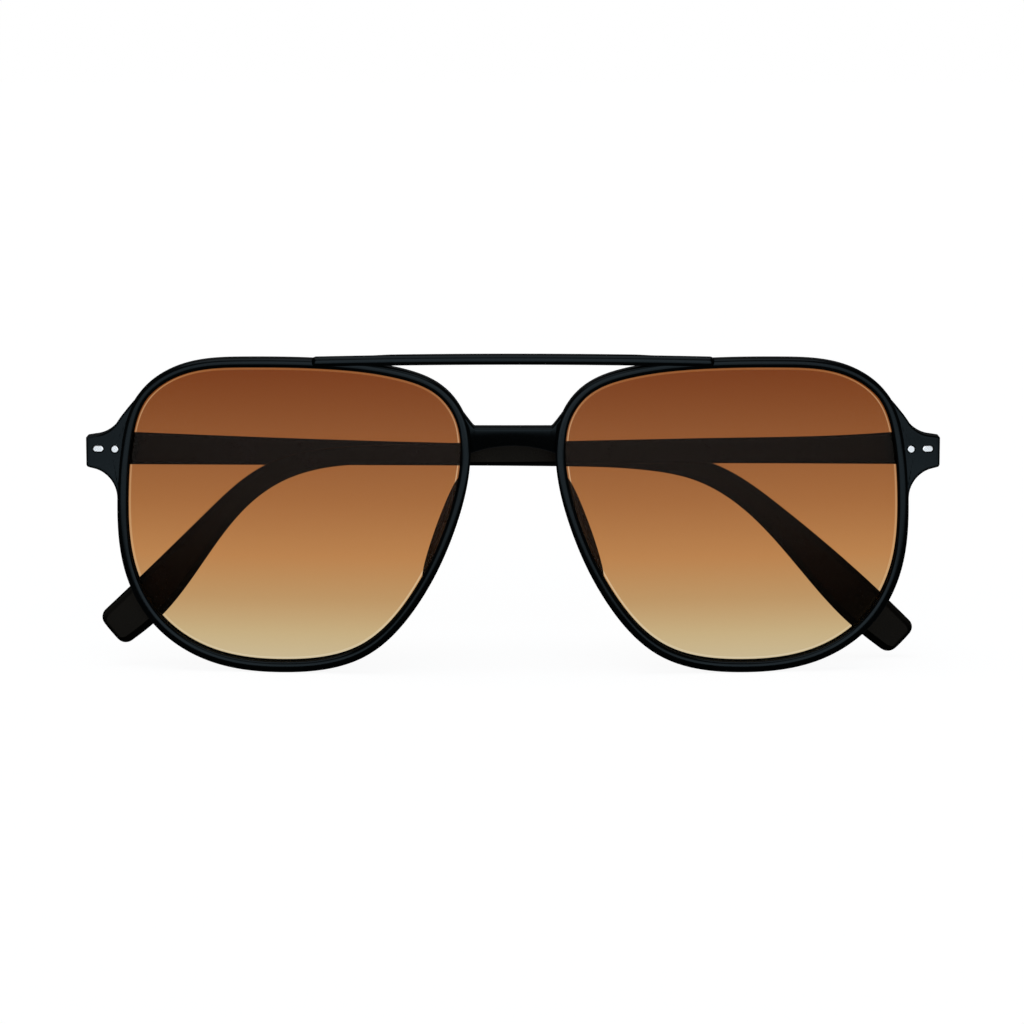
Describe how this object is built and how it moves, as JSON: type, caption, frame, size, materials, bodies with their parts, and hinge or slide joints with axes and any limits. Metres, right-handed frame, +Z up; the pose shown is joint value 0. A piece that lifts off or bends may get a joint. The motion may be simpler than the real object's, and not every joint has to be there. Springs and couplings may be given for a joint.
{
  "type": "aviator sunglasses",
  "caption": "Folded aviator sunglasses: moulded black plastic front with a brow bar above the bridge, brown graduated lenses, and hinged temples crossed behind it.",
  "frame": {"origin": "on the surface the rims stand on, under the middle of the folded glasses", "axes": "+Z up the front, +X to the right seen from the front, -Y the way the front faces; the temples are folded behind it"},
  "size_m": [0.1434, 0.0243, 0.0537],
  "materials": {
    "front_plastic": "moulded black plastic with a soft satin face",
    "brow_plastic": "satin black, rounded along its length",
    "temple_plastic": "satin black, tumbled edges",
    "nose_pad": "dark, polished by use",
    "tinted_lens": "brown tint, dark at the top and pale at the bottom",
    "hinge_steel": "stamped and tumbled nickel silver",
    "screw_steel": "turned stainless steel",
    "stud_metal": "polished studs set flush in the plastic",
    "core_steel": "drawn steel wire, hidden inside the temple"
  },
  "bodies": {
    "front": {"front_frame": "front_plastic", "brow_bar": "brow_plastic", "lens_left": "tinted_lens", "lens_right": "tinted_lens", "nose_pad_left": "nose_pad", "nose_pad_right": "nose_pad", "hinge_front_left": "hinge_steel", "hinge_front_right": "hinge_steel", "hinge_screw_left": "screw_steel", "hinge_screw_right": "screw_steel", "stud_round_left": "stud_metal", "stud_round_right": "stud_metal", "stud_oblong_left": "stud_metal", "stud_oblong_right": "stud_metal"},
    "temple_left": {"temple_left": "temple_plastic", "temple_core_left": "core_steel", "temple_hinge_left": "hinge_steel", "temple_rivets_left": "stud_metal"},
    "temple_right": {"temple_right": "temple_plastic", "temple_core_right": "core_steel", "temple_hinge_right": "hinge_steel", "temple_rivets_right": "stud_metal"}
  },
  "joints": [
    {"name": "left_temple_hinge", "type": "hinge", "parent": "front", "child": "temple_left", "pos_m": [-0.0664, 0.0025, 0.0366], "axis": [0, 0.0872, 0.9962], "range_deg": [0, 87]},
    {"name": "right_temple_hinge", "type": "hinge", "parent": "front", "child": "temple_right", "pos_m": [0.0664, 0.0025, 0.0366], "axis": [0, -0.0872, -0.9962], "range_deg": [0, 90.8]}
  ]
}
